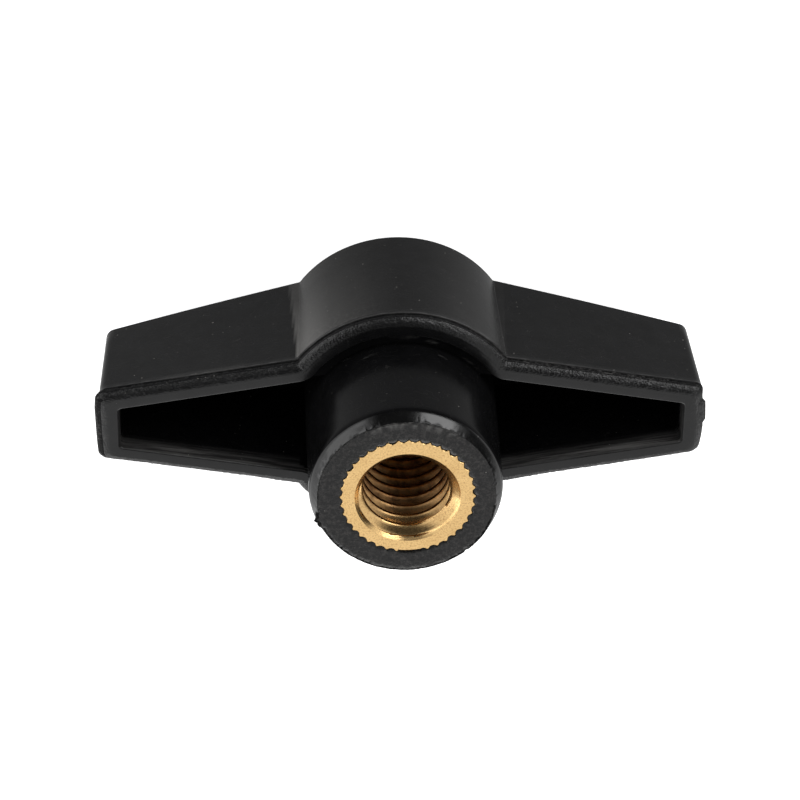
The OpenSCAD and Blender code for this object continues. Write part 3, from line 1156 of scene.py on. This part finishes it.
def makeBrass(name, look):
    material, desk, shader, inMm = newMaterial(name)
    height = desk.add("ShaderNodeSeparateXYZ", {0: inMm}).outputs[2]
    # Painted shade: the colour darkens down the bore.
    depth = desk.fit(height, faceZ - 0.4, faceZ - 5.0)
    skin = desk.add("ShaderNodeGroup", {"Vector": inMm, "Scale": 4.0}, node_tree=mouldGrain).outputs
    color = desk.blend(depth, opaque(look["color"]), opaque(look["deep"]))
    color = desk.blend(desk.fit(skin["Mottle"], 0.35, 0.7, 0.0, 0.35), color, opaque(look["warm"]))
    specks = desk.fit(desk.noise(inMm, 5.0, 4.0, 0.75), 0.48, 0.68, 0.0, 0.7)
    color = desk.blend(specks, color, opaque(look["speckled"]))
    # Blotches of tarnish, laid on more deeply down the bore, paint shade there as well.
    tarnishAndShade = desk.times(desk.fit(desk.noise(inMm, 0.7, 5.0, 0.7), 0.42, 0.62, 0.1, 0.85), depth)
    color = desk.blend(tarnishAndShade, color, opaque(look["shadeAndTarnish"]))
    desk.feed(shader.inputs["Base Color"], color)
    shader.inputs["Metallic"].default_value = 1.0
    smooth, dull = look["roughness"] - 0.05, look["roughness"] + 0.07
    rough = desk.fit(skin["Height"], 0.3, 0.9, smooth, dull)
    desk.feed(shader.inputs["Roughness"], desk.math("MULTIPLY_ADD", depth, 0.12, rough))
    # Rings left by the turning tool.
    flat = desk.stretched(inMm, (1, 1, 0))
    radius = desk.add("ShaderNodeVectorMath", {0: flat}, operation="LENGTH").outputs["Value"]
    feeds = {"W": radius, "Scale": 9.0, "Detail": 4.0}
    rings = desk.add("ShaderNodeTexNoise", feeds, noise_dimensions="1D").outputs["Fac"]
    relief = desk.math("MULTIPLY_ADD", skin["Height"], 0.3, rings)
    bump = desk.add("ShaderNodeBump", {"Height": relief, "Strength": 0.2, "Distance": 0.00003})
    desk.feed(shader.inputs["Normal"], bump.outputs[0])
    return material


for part in zoneOf:
    body.data.materials.append(makePlastic(part + "Plastic", plasticLook[part]))
insert.data.materials.append(makeBrass("turnedBrass", brassLook))
print("materials made")


# The world, the lights and the floor.

studio = {
    "diffuse": 0.82,  # what the world gives the surfaces
    "cardLevel": 0.04,  # the dark cards, as the gloss sees them
    "floorEdges": (-0.15, 0.36, -0.045, 0.36),  # left, right, front and back, in metres
    "floorColor": 0.95,
    "floorGlow": 0.75,  # added to the floor for the camera, so that it stays white
    # The gloss sees a floor that is partly even and free of shadow.
    "evenShare": 0.6,  # in front of the knob; behind it, all of it is even
    "evenLevels": (0.79, 1.1),  # how light that is towards -X and towards +X
}
# Dark cards for the gloss: azimuth, elevation, then where the round edge starts to fade and where it ends.
darkCards = ((14, 68, 27, 42), (3, 2, 27, 36), (-15, -25, 42, 50), (-92, -10, 28, 42))
# Azimuth and elevation, then distance, width and height in metres, and power in watts.
softboxes = {
    "keySoftbox": (-33, 6, 0.5, 0.31, 0.16, 0.95),
    "sideSoftbox": (80, 3, 0.6, 1.08, 0.2, 1.2),
    "backSoftbox": (158, 30, 0.6, 0.75, 0.17, 1.05),
    "rightSoftbox": (-128, 14, 0.6, 0.2, 0.15, 0.22),
    "highSoftbox": (-32, 31, 0.5, 0.26, 0.1, 0.18),
}


def towards(azimuth, elevation):
    # Azimuth is counted from -Y towards +X.
    turn, rise = math.radians(azimuth), math.radians(elevation)
    return Vector((math.sin(turn) * math.cos(rise), -math.cos(turn) * math.cos(rise), math.sin(rise)))


def seenDirectly(desk):
    # 1 for rays that come from the camera, a mirror or through glass.
    path = desk.add("ShaderNodeLightPath").outputs
    seen = desk.math("ADD", path["Is Camera Ray"], path["Is Glossy Ray"])
    return desk.math("ADD", seen, path["Is Transmission Ray"], clamp=True)


def darkCard(desk, direction, azimuth, elevation, inner, outer):
    # 1 inside a round dark card, for what the gloss reflects.
    feeds = {0: direction, 1: towards(azimuth, elevation)}
    near = desk.add("ShaderNodeVectorMath", feeds, operation="DOT_PRODUCT").outputs["Value"]
    return desk.fit(near, math.cos(math.radians(outer)), math.cos(math.radians(inner)))


def makeWorld():
    world = bpy.data.worlds.new("studio")
    bpy.context.scene.world = world
    world.use_nodes = True
    desk = NodeDesk(world.node_tree)
    background = world.node_tree.nodes["Background"]
    background.inputs["Color"].default_value = (1, 1, 1, 1)
    direction = desk.add("ShaderNodeTexCoord").outputs["Generated"]
    path = desk.add("ShaderNodeLightPath").outputs
    seen = seenDirectly(desk)
    dark = 0.0
    for card in darkCards:
        dark = desk.math("MAXIMUM", dark, darkCard(desk, direction, *card))
    light = desk.fit(desk.times(dark, path["Is Glossy Ray"]), 0.0, 1.0, 1.0, studio["cardLevel"])
    strength = desk.times(desk.fit(seen, 0.0, 1.0, studio["diffuse"], 1.0), light)
    desk.feed(background.inputs["Strength"], strength)


def makeFloor():
    mesh = bpy.data.meshes.new("floor")
    left, right, front, back = studio["floorEdges"]
    corners = [(left, front, 0), (right, front, 0), (right, back, 0), (left, back, 0)]
    mesh.from_pydata(corners, [], [(0, 1, 2, 3)])
    floor = bpy.data.objects.new("floor", mesh)
    bpy.context.scene.collection.objects.link(floor)
    material = bpy.data.materials.new("paleFloor")
    material.use_nodes = True
    tree = material.node_tree
    tree.nodes.clear()
    desk = NodeDesk(tree)
    paint = desk.add("ShaderNodeBsdfDiffuse", {"Color": opaque([studio["floorColor"]] * 3)}).outputs[0]
    path = desk.add("ShaderNodeLightPath").outputs
    place = desk.add("ShaderNodeTexCoord").outputs["Object"]
    place = desk.add("ShaderNodeSeparateXYZ", {0: place}).outputs
    level = desk.fit(place[0], 0.004, 0.022, *studio["evenLevels"])
    even = desk.add("ShaderNodeEmission", {"Strength": level}).outputs[0]
    evenShare = desk.fit(desk.fit(place[1], -0.001, 0.006), 0.0, 1.0, studio["evenShare"], 1.0)
    share = desk.times(path["Is Glossy Ray"], evenShare)
    lit = desk.add("ShaderNodeMixShader", {0: share, 1: paint, 2: even}).outputs[0]
    seen = desk.math("MAXIMUM", path["Is Camera Ray"], path["Is Transmission Ray"])
    glow = desk.add("ShaderNodeEmission", {"Strength": desk.times(seen, studio["floorGlow"])}).outputs[0]
    both = desk.add("ShaderNodeAddShader", {0: lit, 1: glow}).outputs[0]
    desk.add("ShaderNodeOutputMaterial", {"Surface": both})
    mesh.materials.append(material)


def addSoftbox(name, azimuth, elevation, distance, width, height, power):
    # The lamp looks at the boss.
    target = Vector((0, 0, (faceZ - 4) * mm))
    aim = towards(azimuth, elevation)
    data = bpy.data.lights.new(name, "AREA")
    data.shape = "RECTANGLE"
    data.size = width
    data.size_y = height
    data.energy = power
    lamp = bpy.data.objects.new(name, data)
    lamp.location = target + aim * distance
    lamp.rotation_euler = aim.to_track_quat("Z", "Y").to_euler()
    bpy.context.scene.collection.objects.link(lamp)


makeWorld()
makeFloor()
for name, lamp in softboxes.items():
    addSoftbox(name, *lamp)
print("world, lights and floor set")
